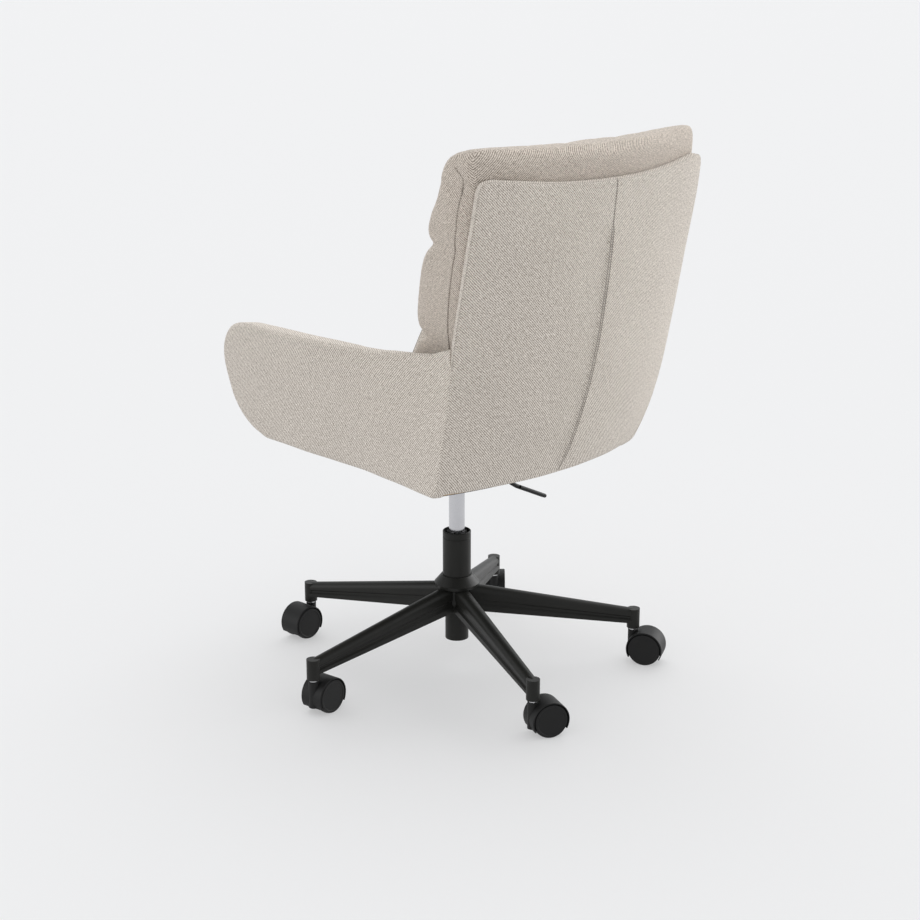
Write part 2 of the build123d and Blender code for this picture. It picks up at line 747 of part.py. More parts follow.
back_trim = behind_back(0.2)
with BuildPart() as arm_left:
    add(arm_wall(ARM_LOW[0], ARM_HIGH[0]))
    with BuildSketch(Plane.YZ):
        with BuildLine():
            Polyline((330, 400), (330, 668), (262, 657), (130, 647), (-190, 646))
            ThreePointArc((-190, 646), (-262, 624), (-302, 585))
            ThreePointArc((-302, 585), (-325, 535), (-338, 480))
            Polyline((-338, 480), (-338, 400), (330, 400))
        make_face()
    extrude(amount=500, both=True, mode=Mode.INTERSECT)
    add(back_trim, mode=Mode.SUBTRACT)
    add(arm_board_left.part, mode=Mode.SUBTRACT)
write("arm_left", arm_left)
with BuildPart() as arm_right:
    add(arm_left.part)
    mirror(about=Plane.YZ, mode=Mode.REPLACE)
write("arm_right", arm_right)


# ---------------------------------------------------------------- cushions
wall_clear = arm_wall(ARM_LOW[0] - 5, ARM_HIGH[0], grow=0.3)
with BuildPart() as seat_cushion:
    with BuildSketch(Plane.XY.offset(BASE_TOP)):
        with Locations((0, (SEAT_FRONT + SEAT_REAR) / 2)):
            RectangleRounded(368, SEAT_REAR - SEAT_FRONT, 45)
    extrude(amount=SEAT_TOP - BASE_TOP)
    fillet(seat_cushion.faces().sort_by(Axis.Z)[-1].edges(), radius=20)
    add(wall_clear, mode=Mode.SUBTRACT)
    add(mirror(wall_clear, about=Plane.YZ, mode=Mode.PRIVATE), mode=Mode.SUBTRACT)
write("seat_cushion", seat_cushion)

# each channel: heights, half widths, y of its front at the sides there, and its bulge
CHANNELS = {
    "back_cushion_lower": ((BASE_TOP, 671), (168, 240), (130, 180), 48),
    "back_cushion_middle": ((677, 821), (243, 256), (180, 217), 28),
    "back_cushion_top": ((827, 972), (257, CUSHION_HALF), (213, 280), 30),
}
FRONT_SAG = 38  # the front is less hollow across than the shell behind it
STATIONS = (0, 0.1, 0.3, 0.5, 0.7, 0.9, 1)
for name, (heights, halves, fronts, bulge) in CHANNELS.items():
    with BuildPart() as channel:
        for share in STATIONS:
            level = heights[0] + share * (heights[1] - heights[0])
            swell = (1 - (2 * share - 1) ** 4) ** 0.5
            half = halves[0] + share * (halves[1] - halves[0]) - 8 * (1 - swell)
            front = fronts[0] + share * (fronts[1] - fronts[0]) - bulge * swell
            shell_half, side_y, middle_y = back_row(level)
            rear = (side_y - SHELL_THICK, middle_y - SHELL_THICK)
            corner = min(24, 0.4 * (rear[0] - front))
            with BuildSketch(Plane.XY.offset(level)):
                add(band(half, rear, (front, front + FRONT_SAG), corner))
        loft()
        add(back_trim, mode=Mode.SUBTRACT)
        add(wall_clear, mode=Mode.SUBTRACT)
        add(mirror(wall_clear, about=Plane.YZ, mode=Mode.PRIVATE), mode=Mode.SUBTRACT)
    write(name, channel)
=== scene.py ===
"""Swivel office chair, dressed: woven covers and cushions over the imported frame, its finishes and a studio.

Metres, +Z up, +X is the sitter's left and the chair faces -Y, as in the frame.
"""

from math import pi, radians, sqrt

import bpy
import numpy as np
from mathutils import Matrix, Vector, noise
from mathutils.kdtree import KDTree


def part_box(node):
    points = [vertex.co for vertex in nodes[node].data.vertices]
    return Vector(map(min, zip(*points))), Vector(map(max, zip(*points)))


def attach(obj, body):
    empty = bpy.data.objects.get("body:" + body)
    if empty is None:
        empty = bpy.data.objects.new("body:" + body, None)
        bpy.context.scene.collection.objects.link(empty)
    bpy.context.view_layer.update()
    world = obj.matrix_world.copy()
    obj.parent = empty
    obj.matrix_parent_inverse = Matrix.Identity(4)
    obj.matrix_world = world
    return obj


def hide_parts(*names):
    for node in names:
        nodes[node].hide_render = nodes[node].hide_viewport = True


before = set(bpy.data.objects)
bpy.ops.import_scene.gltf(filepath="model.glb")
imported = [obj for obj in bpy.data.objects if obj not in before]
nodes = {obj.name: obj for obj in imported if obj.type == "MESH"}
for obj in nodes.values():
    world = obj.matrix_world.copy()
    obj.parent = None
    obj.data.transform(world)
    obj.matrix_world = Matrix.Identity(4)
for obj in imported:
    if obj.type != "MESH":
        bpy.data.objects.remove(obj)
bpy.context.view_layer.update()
bpy.ops.object.select_all(action="DESELECT")


# ---------------------------------------------------------------- camera, floor and light
# A pale seamless floor, open sky light all round, one soft light from above, and a big soft light on
# either side that is flagged off the floor: the back is in gentle shade, its flanks and tops are bright.
bpy.ops.object.camera_add(location=(2.1367, 2.2206, 1.2976))
camera = bpy.context.object
camera.data.lens = 72.02
camera.data.sensor_width = 36
camera.data.clip_end = 300
sight = Vector((-0.0040, 0.0039, 0.3877)) - camera.location
camera.rotation_euler = sight.to_track_quat("-Z", "Y").to_euler()
bpy.context.scene.camera = camera
bpy.context.scene.view_settings.view_transform = "Standard"

world = bpy.data.worlds.new("studio")
bpy.context.scene.world = world
world.use_nodes = True
sky = world.node_tree.nodes["Background"]
sky.inputs["Color"].default_value = (0.97, 0.985, 1, 1)
sky.inputs["Strength"].default_value = 0.78


def link(tree, source, target):
    """Join two sockets of one node tree."""
    tree.links.new(source, target)


def new_material(name, roughness, **sockets):
    """A Principled material whose plain values are set on the shader's own sockets."""
    made = bpy.data.materials.new(name)
    made.use_nodes = True
    shader = made.node_tree.nodes["Principled BSDF"]
    shader.inputs["Roughness"].default_value = roughness
    for socket, value in sockets.items():
        shader.inputs[socket.replace("_", " ")].default_value = value
    return made, made.node_tree, shader


FLOOR_SIZE = 80
bpy.ops.mesh.primitive_plane_add(size=FLOOR_SIZE)
floor = bpy.context.object
floor.name = "floor"
paper, tree, shader = new_material("floor_paper", 0.9)
shader.inputs["Base Color"].default_value = (0.46, 0.46, 0.465, 1)
shader.inputs["Emission Color"].default_value = (1, 1, 1, 1)
shader.inputs["Emission Strength"].default_value = 0.41  # lit from below, so that its shadows are pale
shader.inputs["Specular IOR Level"].default_value = 0.1
floor.data.materials.append(paper)
off_floor = bpy.data.collections.new("off_floor")
off_floor.objects.link(floor)
off_floor.collection_objects[0].light_linking.link_state = "EXCLUDE"

# name, direction the light comes from, strength, how wide it looks in degrees, whether it lights the floor
WINDOWS = (
    ("window_top", (-0.50, -0.40, 1.10), 0.85, 70, True),
    ("window_left", (0.95, -0.45, 0.15), 1.25, 60, False),
    ("window_right", (-0.95, 0.30, 0.30), 2.75, 60, False),
)
for name, towards, strength, width, on_floor in WINDOWS:
    bpy.ops.object.light_add(type="SUN")
    window = bpy.context.object
    window.name = name
    window.rotation_euler = Vector(towards).to_track_quat("Z", "Y").to_euler()
    window.data.energy = strength
    window.data.angle = radians(width)
    if not on_floor:
        window.light_linking.receiver_collection = off_floor


# ---------------------------------------------------------------- woven cloth
# All the upholstery is one heavy cloth: a two-tone twill of slubby greige yarns with a fine slanting
# rib, laid on each panel in metres and turned over from panel to panel as it was cut.
def math_node(tree, operation, *values):
    """A Math node fed with sockets or plain numbers; gives its output socket."""
    node = tree.nodes.new("ShaderNodeMath")
    node.operation = operation
    for socket, value in zip(node.inputs, values):
        if isinstance(value, (int, float)):
            socket.default_value = value
        else:
            link(tree, value, socket)
    return node.outputs[0]


def noise_node(tree, vector, stretch, detail=2.0):
    """Noise of a vector stretched to so many spots per metre each way; gives its factor."""
    scale = tree.nodes.new("ShaderNodeVectorMath")
    scale.operation = "MULTIPLY"
    scale.inputs[1].default_value = stretch
    link(tree, vector, scale.inputs[0])
    spots = tree.nodes.new("ShaderNodeTexNoise")
    spots.inputs["Scale"].default_value = 1
    spots.inputs["Detail"].default_value = detail
    link(tree, scale.outputs[0], spots.inputs["Vector"])
    return spots.outputs["Fac"]


def new_group(name, inputs, outputs):
    """An empty shader node group with named sockets, each given as (name, kind, value)."""
    group = bpy.data.node_groups.new(name, "ShaderNodeTree")
    for title, kind, value in inputs:
        socket = group.interface.new_socket(title, in_out="INPUT", socket_type="NodeSocket" + kind)
        if value is not None:
            socket.default_value = value
    for title, kind in outputs:
        group.interface.new_socket(title, in_out="OUTPUT", socket_type="NodeSocket" + kind)
    return group, group.nodes.new("NodeGroupInput"), group.nodes.new("NodeGroupOutput")


RIB, RIB_WANDER = 0.0028, 0.0024  # metres across one rib, and how far it strays
twill, given, result = new_group(
    "slubby_twill",
    (
        ("Vector", "Vector", None),
        ("Rib", "Float", RIB),
        ("Pale Yarn", "Color", (0.7, 0.65, 0.58, 1)),
        ("Dark Yarn", "Color", (0.3, 0.26, 0.22, 1)),
    ),
    (("Color", "Color"), ("Height", "Float")),
)
split = twill.nodes.new("ShaderNodeSeparateXYZ")
link(twill, given.outputs["Vector"], split.inputs[0])
along, up = split.outputs[0], split.outputs[1]
wander = math_node(twill, "SUBTRACT", noise_node(twill, given.outputs["Vector"], (70, 70, 70)), 0.5)
drift = math_node(twill, "MULTIPLY", wander, RIB_WANDER)
diagonal = math_node(twill, "MULTIPLY", math_node(twill, "ADD", along, up), sqrt(0.5))
slant = math_node(twill, "ADD", diagonal, drift)
cross = math_node(twill, "MULTIPLY", math_node(twill, "SUBTRACT", along, up), sqrt(0.5))
turn = math_node(twill, "DIVIDE", 2 * pi, given.outputs["Rib"])
rib = math_node(twill, "SINE", math_node(twill, "MULTIPLY", slant, turn))
rib = math_node(twill, "MULTIPLY_ADD", rib, 0.5, 0.5)
bead = math_node(twill, "SINE", math_node(twill, "MULTIPLY", cross, math_node(twill, "MULTIPLY", turn, 1.35)))
bead = math_node(twill, "MULTIPLY_ADD", bead, 0.5, 0.5)
warp = noise_node(twill, given.outputs["Vector"], (700, 170, 1))
weft = noise_node(twill, given.outputs["Vector"], (170, 700, 1))
yarn = math_node(
    twill, "ADD", math_node(twill, "MULTIPLY", warp, 0.5), math_node(twill, "MULTIPLY", weft, 0.5),
)
yarn = math_node(twill, "SUBTRACT", yarn, 0.5)
weave = math_node(twill, "MULTIPLY", rib, math_node(twill, "MULTIPLY_ADD", bead, 0.55, 0.45))
height = math_node(twill, "ADD", weave, math_node(twill, "MULTIPLY", yarn, 0.6))
link(twill, height, result.inputs["Height"])
tone = math_node(twill, "MULTIPLY_ADD", weave, 1.5, 0.06)
tone = math_node(twill, "ADD", tone, math_node(twill, "MULTIPLY", yarn, 2.9))
patch = math_node(twill, "SUBTRACT", noise_node(twill, given.outputs["Vector"], (9, 9, 9)), 0.5)
tone = math_node(twill, "ADD", tone, math_node(twill, "MULTIPLY", patch, 0.12))
blend = twill.nodes.new("ShaderNodeMix")
blend.data_type = "RGBA"
link(twill, tone, blend.inputs["Factor"])
link(twill, given.outputs["Dark Yarn"], blend.inputs["A"])
link(twill, given.outputs["Pale Yarn"], blend.inputs["B"])
link(twill, blend.outputs["Result"], result.inputs["Color"])


def place_group(tree, group, shader, vector, bump, **values):
    """Put a finish group into a material: its colour and height drive the shader."""
    used = tree.nodes.new("ShaderNodeGroup")
    used.node_tree = group
    for title, value in values.items():
        used.inputs[title.replace("_", " ")].default_value = value
    link(tree, vector, used.inputs["Vector"])
    relief = tree.nodes.new("ShaderNodeBump")
    relief.inputs["Strength"].default_value = 1
    relief.inputs["Distance"].default_value = bump
    link(tree, used.outputs["Height"], relief.inputs["Height"])
    link(tree, relief.outputs["Normal"], shader.inputs["Normal"])
    link(tree, used.outputs["Color"], shader.inputs["Base Color"])
    return used


def cloth_material(name, pale, dark):
    """The twill in given yarns, darkened by painted shade in the seams, where a point attribute marks it."""
    made, tree, shader = new_material(name, 0.92, Sheen_Weight=0.2, Sheen_Roughness=0.5)
    shader.inputs["Specular IOR Level"].default_value = 0.15
    laid = tree.nodes.new("ShaderNodeUVMap")
    laid.uv_map = "cloth"
    used = place_group(
        tree, twill, shader, laid.outputs["UV"], 0.0012, Pale_Yarn=(*pale, 1), Dark_Yarn=(*dark, 1),
    )
    seam_shade = tree.nodes.new("ShaderNodeAttribute")
    seam_shade.attribute_name = "seam_shade"
    shade = tree.nodes.new("ShaderNodeMix")
    shade.data_type = "RGBA"
    link(tree, seam_shade.outputs["Fac"], shade.inputs["Factor"])
    link(tree, used.outputs["Color"], shade.inputs["A"])
    shade.inputs["B"].default_value = (*(0.35 * part for part in dark), 1)
    link(tree, shade.outputs["Result"], shader.inputs["Base Color"])
    return made


# the shell, arms and base wear the cloth as it is, the cushions a copy with darker yarns: painted shade for
# their shaded sides
outer_cloth = cloth_material("greige_twill", (0.93, 0.86, 0.775), (0.27, 0.225, 0.185))
shaded_cushion_cloth = cloth_material("greige_twill_painted_shade", (0.84, 0.75, 0.66), (0.22, 0.18, 0.145))


def mark_seam_shade(piece, marks):
    """Store how much painted seam shade each point gets, from 0 to 1."""
    layer = piece.data.attributes.get("seam_shade") or piece.data.attributes.new("seam_shade", "FLOAT", "POINT")
    for number, value in enumerate(marks):
        layer.data[number].value = max(layer.data[number].value, value)


def lay_weave(piece, lean=1):
    """Lay the cloth on a piece in metres, from the side each face looks to; 1 is the cushions' way up."""
    mesh = piece.data
    while mesh.uv_layers:
        mesh.uv_layers.remove(mesh.uv_layers[0])
    layer = mesh.uv_layers.new(name="cloth")
    points = np.zeros(len(mesh.vertices) * 3)
    mesh.vertices.foreach_get("co", points)
    corners = np.zeros(len(mesh.loops), np.int32)
    mesh.loops.foreach_get("vertex_index", corners)
    normals = np.zeros(len(mesh.polygons) * 3)
    mesh.polygons.foreach_get("normal", normals)
    sizes = np.zeros(len(mesh.polygons), np.int32)
    mesh.polygons.foreach_get("loop_total", sizes)
    facing = np.abs(normals.reshape(-1, 3)).argmax(1)
    axes = np.array(((1, 2), (0, 2), (0, 1)))[np.repeat(facing, sizes)]
    flat = np.take_along_axis(points.reshape(-1, 3)[corners], axes, 1)
    flat[:, 0] *= lean
    layer.data.foreach_set("uv", flat.ravel())
    mesh.materials.clear()
    # the cushions take the darker copy of the cloth, painted shade
    mesh.materials.append(shaded_cushion_cloth if lean == 1 else outer_cloth)
    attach(piece, "seat")


# ---------------------------------------------------------------- back cover
# The back's outer cover is cut in two halves joined up the middle, over a 15 mm padded shell.  The
# seam is pressed flat at the top and stands up as a lapped ridge lower down.  A narrow band of the
# same cloth, sewn on with a seam each side, runs round the shell's edge.
SHELL_THICK = 0.015
COVER_BOTTOM = 0.410
SHELL_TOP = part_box("back_shell")[1].z
# height, half width, y at the side edges, y at the middle of the back
BACK_LEVELS = np.array(
    (
        (0.400, 0.2335, 0.183, 0.229),
        (0.440, 0.243, 0.203, 0.252),
        (0.500, 0.252, 0.227, 0.277),
        (0.570, 0.258, 0.244, 0.302),
        (0.654, 0.2605, 0.260, 0.323),
        (0.790, 0.260, 0.289, 0.344),
        (0.920, 0.257, 0.314, 0.358),
    )
)
BACK_HELD = 0.93  # above this height the back keeps the same outline
back_fits = [np.polyfit(BACK_LEVELS[:, 0], BACK_LEVELS[:, k], 4) for k in (1, 2, 3)]


def back_row(height):
    """Half width, side y and middle y of the back's outer face at a height."""
    return [float(np.polyval(fit, min(height, BACK_HELD))) for fit in back_fits]


def on_back(x, height, forward=0):
    """Point of the back's outer face, or of a face set forward of it."""
    half, side_y, middle_y = back_row(height)
    sag = middle_y - side_y
    radius = (half * half + sag * sag) / (2 * sag)
    return Vector((x, middle_y - radius + sqrt(radius * radius - x * x) - forward, height))


def apply_modifier(piece, kind, **settings):
    """Add a modifier, set it and apply it."""
    modifier = piece.modifiers.new(kind, kind)
    for title, value in settings.items():
        setattr(modifier, title, value)
    bpy.context.view_layer.objects.active = piece
    bpy.ops.object.modifier_apply(modifier=modifier.name)


def in_edit_mode(piece, *operators):
    """Run mesh operators on all of a piece; each is (operator, settings)."""
    bpy.ops.object.select_all(action="DESELECT")
    piece.select_set(True)
    bpy.context.view_layer.objects.active = piece
    bpy.ops.object.mode_set(mode="EDIT")
    bpy.ops.mesh.select_all(action="SELECT")
    for operator, settings in operators:
        operator(**settings)
    bpy.ops.object.mode_set(mode="OBJECT")


def corner_round(across, up, reach_across, reach_up):
    """Bend the corner at (1, 1) of a unit square into a quarter round of the given reaches."""
    a = (across - 1 + reach_across) / reach_across
    b = (up - 1 + reach_up) / reach_up
    if a <= 0 or b <= 0:
        return across, up
    a, b = a * sqrt(1 - b * b / 2), b * sqrt(1 - a * a / 2)
    return 1 - reach_across + reach_across * a, 1 - reach_up + reach_up * b


def spread(low, high, step):
    """Evenly spaced values from low to high, about a step apart."""
    return list(np.linspace(low, high, max(2, round(abs(high - low) / step) + 1)))


def cloth_sheet(name, columns, rows, place, border):
    """A grid put on a surface by place(column, row), with a border strip added round it."""
    bpy.ops.mesh.primitive_grid_add(x_subdivisions=len(columns) - 1, y_subdivisions=len(rows) - 1, size=2)
    piece = bpy.context.object
    piece.name = piece.data.name = name
    across, up = len(columns) - 1, len(rows) - 1
    index = {}
    for vertex in piece.data.vertices:
        i = round((vertex.co.x + 1) / 2 * across)
        j = round((vertex.co.y + 1) / 2 * up)
        index[i, j] = vertex.index
        vertex.co = place(columns[i], rows[j])
    ring = [(i, 0) for i in range(across)] + [(across, j) for j in range(up)]
    ring += [(i, up) for i in range(across, 0, -1)] + [(0, j) for j in range(up, 0, -1)]
    ring = [index[key] for key in ring]
    piece.data.update()
    normals = [vertex.normal.copy() for vertex in piece.data.vertices]
    points = [vertex.co.copy() for vertex in piece.data.vertices]
    outward = {}
    for before, here, after in zip(ring[-1:] + ring[:-1], ring, ring[1:] + ring[:1]):
        arrive = (points[here] - points[before]).normalized()
        leave = (points[after] - points[here]).normalized()
        way = (arrive + leave).normalized()
        outward[here] = way.cross(normals[here]).normalized() / max(0.6, way.dot(arrive))
    first_new = len(piece.data.vertices)
    bpy.ops.object.mode_set(mode="EDIT")
    bpy.ops.mesh.select_mode(type="EDGE")
    bpy.ops.mesh.select_all(action="DESELECT")
    bpy.ops.mesh.select_non_manifold()
    bpy.ops.mesh.extrude_edges_move()
    bpy.ops.object.mode_set(mode="OBJECT")
    for vertex in piece.data.vertices[first_new:]:
        nearest = min(outward, key=lambda k: (points[k] - vertex.co).length_squared)
        vertex.co += outward[nearest] * border
    return piece


SHARP = radians(50)  # an edge bent by more than this is rounded
ARC_PLACE = 0.414  # how far the arc of a square bevel stays from the old edge, as a share of its width
SEAM_HALF = 0.0020  # half width of the shade in a sewn seam


def pad_out(piece, thickness, widest, weight, seam=0.0012, segments=4, smooth=1, settle=None, **solid):
    """Give a sheet its thickness and round its edges, sinking a seam along the edges that ask for one.

    weight(point) gives an edge's rounding as a share of the widest, and whether it is sewn;
    settle(point) levels each inner point that far below its outer one.
    """
    count = len(piece.data.vertices)
    apply_modifier(piece, "SOLIDIFY", thickness=thickness, offset=-1, use_even_offset=True, **solid)
    mesh = piece.data
    if settle:
        for outer, inner in zip(mesh.vertices[:count], mesh.vertices[count:]):
            inner.co.z = outer.co.z - settle(outer.co)
    edge_faces = {}
    for face in mesh.polygons:
        for key in face.edge_keys:
            edge_faces.setdefault(key, []).append(face.normal.copy())
    weights = mesh.attributes.new("bevel_weight_edge", "FLOAT", "EDGE")
    sewn = []
    for edge in mesh.edges:
        pair = edge_faces.get(tuple(sorted(edge.vertices)), [])
        if len(pair) == 2 and pair[0].angle(pair[1], 0) > SHARP:
            ends = [mesh.vertices[k].co for k in edge.vertices]
            middle = (ends[0] + ends[1]) / 2
            share, has_seam = weight(middle)
            weights.data[edge.index].value = share
            if has_seam:
                for step in range(5):
                    sewn.append((ends[0].lerp(ends[1], step / 4), share))
    apply_modifier(
        piece, "BEVEL", width=widest, segments=segments, limit_method="WEIGHT", profile=0.5,
        use_clamp_overlap=True,
    )
    marks = KDTree(max(1, len(sewn)))
    for number, (point, share) in enumerate(sewn):
        marks.insert(point, number)
    marks.balance()
    mesh = piece.data
    sunk = []
    for vertex in mesh.vertices:
        point, number, distance = marks.find(vertex.co)
        if point is not None and distance < 0.50 * widest * sewn[number][1]:
            sunk.append((vertex, vertex.normal * seam))
    for vertex, move in sunk:
        vertex.co -= move
    in_edit_mode(piece, (bpy.ops.mesh.normals_make_consistent, {"inside": False}))
    if smooth:
        apply_modifier(piece, "SUBSURF", levels=smooth, render_levels=smooth)
    # painted shade along each sewn seam, darkest on the seam's line and fading out over SEAM_HALF each side
    seam_shades = []
    for vertex in piece.data.vertices:
        point, number, distance = marks.find(vertex.co)
        depth = 0
        if point is not None and distance < 0.6 * widest:
            nearest = ARC_PLACE * widest * sewn[number][1]
            aside = sqrt(max(0, distance**2 - nearest**2))
            depth = 0.75 * max(0, 1 - aside / SEAM_HALF)
        seam_shades.append(depth)
    mark_seam_shade(piece, seam_shades)


def ruffle(piece, depth, grain):
    """The faint unevenness of cloth over foam."""
    piece.data.update()
    moves = [v.normal * noise.noise(v.co * grain) * depth for v in piece.data.vertices]
    for vertex, move in zip(piece.data.vertices, moves):
        vertex.co += move


def finish_cover(piece, lean=1):
    """Smooth shading, the weave, and the piece's place on the seat."""
    bpy.ops.object.select_all(action="DESELECT")
    piece.select_set(True)
    bpy.context.view_layer.objects.active = piece
    bpy.ops.object.shade_smooth()
    lay_weave(piece, lean)


BORDER = 0.008  # width of the strip round the sheet's edge, in which the edge is rounded
NOTCH = 0.656  # height at which the arms run into the back's edge
CORNER = 0.028
UNDER = 0.016  # the cover rolls under the back over this height
TOP_DIP, TOP_EARS = 0.008, 0.019  # the top edge dips in the middle and rises to its corners
back_rows = spread(COVER_BOTTOM + BORDER, 0.425, 0.003) + spread(0.433, 0.874, 0.0085)
back_rows += spread(0.878, SHELL_TOP - BORDER, 0.003)
half_columns = spread(1, 0.85, 0.013) + spread(0.82, 0.07, 0.034)
fine = [-k * 0.0064 for k in range(-9, 10)]
back_columns = half_columns + fine + [-x for x in reversed(half_columns)]


def back_place(across, height):
    """Back cover point: across runs from 1 at the sitter's left to -1."""
    high = (height - COVER_BOTTOM) / (SHELL_TOP - COVER_BOTTOM)
    reach = CORNER - 0.4 * BORDER
    width, high = corner_round(abs(across), high, reach / 0.25, reach / (SHELL_TOP - COVER_BOTTOM))
    height = COVER_BOTTOM + high * (SHELL_TOP - COVER_BOTTOM)
    height += high**4 * (TOP_EARS * width**2 - TOP_DIP)
    low = max(0, COVER_BOTTOM + UNDER - height)
    tuck = UNDER - sqrt(UNDER**2 - low**2)
    half = back_row(height)[0] - BORDER - tuck
    return on_back(width * half * (1 if across > 0 else -1), height, tuck)


def back_edges(middle):
    """Crisp sewn edges above the arms, flush ones below, and a big roll under the back."""
    if middle.z < COVER_BOTTOM + 0.004:
        return (0.9, False) if middle.y > on_back(middle.x, 0.41).y - 0.010 else (0.2, False)
    return (0.32, True) if middle.z > NOTCH - 0.02 else (0.2, False)


back_cover = cloth_sheet("back_cover", back_columns, back_rows, back_place, BORDER)
pad_out(back_cover, SHELL_THICK, BORDER, back_edges)

# the lapped ridge of the middle seam: a raised strip between two stitched lines
RIDGE_TOP, RIDGE_HIGH = 0.845, 0.0036
RIDGE_ACROSS, RIDGE_SHAPE = (-0.0036, -0.0012, 0.0050, 0.0110), (0, 1, 1, 0)
STITCHES = (0.0006, 0.0050)
STITCH_HALF, STITCH_DEEP = 0.0017, 0.0016  # half width and depth of a stitched line
back_cover.data.update()
ridge_seam_shades = []
for vertex in back_cover.data.vertices:
    x, z = vertex.co.x, vertex.co.z
    seam_shade = 0
    if vertex.normal.y > 0.2 and abs(x) < 0.014 and z > COVER_BOTTOM + 0.01:
        rise = min(1, max(0, (RIDGE_TOP - z) / 0.015)) * min(1, max(0, (z - COVER_BOTTOM - 0.01) / 0.03))
        lines = [max(0, 1 - abs(x - line) / STITCH_HALF) for line in STITCHES]
        lines[1] *= rise
        # painted shade in the two stitched lines, over their sunk grooves
        seam_shade = max(0.85 * lines[0], 0.6 * lines[1])
        raised = RIDGE_HIGH * rise * float(np.interp(x, RIDGE_ACROSS, RIDGE_SHAPE))
        vertex.co.y += raised - STITCH_DEEP * max(lines)
    ridge_seam_shades.append(seam_shade)
mark_seam_shade(back_cover, ridge_seam_shades)
ruffle(back_cover, 0.0009, 14)
finish_cover(back_cover, lean=-1)
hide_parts("back_shell")

# the springy plywood board inside the padded shell
BOARD_SKIN, BOARD_THICK, BOARD_LOW, BOARD_HIGH = 0.0045, 0.007, 0.430, 0.894


def board_place(across, height):
    """Point of the board's rear face, a few millimetres inside the cover."""
    half = back_row(height)[0] - 0.020
    return on_back(across * half, height, BOARD_SKIN)


board_rows = spread(BOARD_LOW, BOARD_HIGH, 0.03)
back_ply = cloth_sheet("back_ply", spread(0.98, -0.98, 0.06), board_rows, board_place, 0.003)
apply_modifier(back_ply, "SOLIDIFY", thickness=BOARD_THICK, offset=-1, use_even_offset=True)
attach(back_ply, "seat")
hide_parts("back_board")


# ---------------------------------------------------------------- arm covers
# Each arm is a foam pad 48 mm thick, cut with a boxing strip round its top and front, and it thins
# towards the back, where its top turns up in a small curve into the band of the back's edge.
ARM_THICK = 0.048
ARM_TOP = 0.648
ARM_BORDER = 0.020
FRONT_FOOT, FRONT_LEAN = -0.355, 0.20  # y of the front edge at the floor of the cover, and its lean
REACH_TOP, REACH_FOOT = 0.105, 0.074  # the front corners are bent over these lengths
NOTCH_RADIUS = 0.018
LOW_PLAN = np.polyfit((-0.345, -0.180, 0, 0.110, 0.205), (0.212, 0.224, 0.228, 0.230, 0.243), 3)
HIGH_PLAN = np.polyfit((-0.345, -0.180, 0, 0.130, 0.263), (0.300, 0.314, 0.315, 0.298, 0.260), 4)


def arm_out(y, height, share_back):
    """x of the left arm's outer face; its last stretch is drawn onto the back's edge."""
    high = (height - 0.440) / 0.230
    low = float(np.polyval(LOW_PLAN, y))
    x = low + high * (float(np.polyval(HIGH_PLAN, y)) - low)
    return x + (back_row(height)[0] - x) * share_back**6


def arm_place(along, up):
    """Left arm point: along runs from the front to the back's edge, up from foot to top."""
    foot, top = COVER_BOTTOM + ARM_BORDER, ARM_TOP - ARM_BORDER
    tall = top - foot
    length = 0.52
    reach = REACH_TOP - 0.55 * ARM_BORDER
    back, up = corner_round(1 - along, up, reach / length, reach / tall)
    reach = REACH_FOOT - 0.55 * ARM_BORDER
    back, down = corner_round(back, 1 - up, reach / length, reach / tall)
    along, up = 1 - back, 1 - down
    height = foot + up * tall
    front_y = FRONT_FOOT + FRONT_LEAN * (height - COVER_BOTTOM) + ARM_BORDER
    rear_y = back_row(height)[1] - ARM_BORDER
    y = front_y + along * (rear_y - front_y)
    # the top climbs a little towards the back and turns up sharply at the notch
    climb = 0.010 * max(0, (y - 0.10) / 0.13) ** 1.5
    turn_up = NOTCH_RADIUS + ARM_BORDER
    into = max(0, y - (rear_y - 0.55 * turn_up + 0.004))
    climb += turn_up - sqrt(turn_up**2 - min(into, 0.9 * turn_up) ** 2)
    height += climb * up**3
    rear_share = max(0, (y + ARM_BORDER - front_y) / (rear_y + ARM_BORDER - front_y))
    return Vector((arm_out(y, height, rear_share), y, height))


def arm_edges(middle):
    """Soft sewn edges along the top and front, a roll underneath, flush against the back."""
    if middle.z < COVER_BOTTOM + 0.004:
        return 1.0, False
    side_y = back_row(middle.z)[1]
    if middle.y > side_y - 0.012 and middle.z < NOTCH - 0.004:
        return 0.12, False
    return float(np.interp(middle.y, (-0.30, -0.16, 0.10, 0.22), (0.95, 0.46, 0.44, 0.18))), True


arm_columns = spread(0, 0.86, 0.0165) + spread(0.87, 1, 0.0085)
arm_rows = spread(0, 1, 0.034)
arm_cover_left = cloth_sheet("arm_cover_left", arm_columns, arm_rows, arm_place, ARM_BORDER)
thin = arm_cover_left.vertex_groups.new(name="thickness")
for vertex in arm_cover_left.data.vertices:
    share = np.interp(vertex.co.y, (0.0, 0.13, 0.225), (1, 0.78, 0.40))
    thin.add([vertex.index], float(share), "REPLACE")
pad_out(
    arm_cover_left, ARM_THICK, ARM_BORDER, arm_edges, seam=0.0018, segments=6,
    settle=lambda point: float(np.interp(point.y, (-0.30, -0.10), (0.008, 0.004))),
    vertex_group="thickness", thickness_vertex_group=0.0,
)
ruffle(arm_cover_left, 0.0011, 13)
bpy.ops.object.select_all(action="DESELECT")
arm_cover_left.select_set(True)
bpy.context.view_layer.objects.active = arm_cover_left
bpy.ops.object.duplicate()
arm_cover_right = bpy.context.object
arm_cover_right.name = arm_cover_right.data.name = "arm_cover_right"
for vertex in arm_cover_right.data.vertices:
    vertex.co.x *= -1
in_edit_mode(arm_cover_right, (bpy.ops.mesh.flip_normals, {}))
for cover, node in ((arm_cover_left, "arm_left"), (arm_cover_right, "arm_right")):
    finish_cover(cover, lean=-1)
    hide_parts(node)


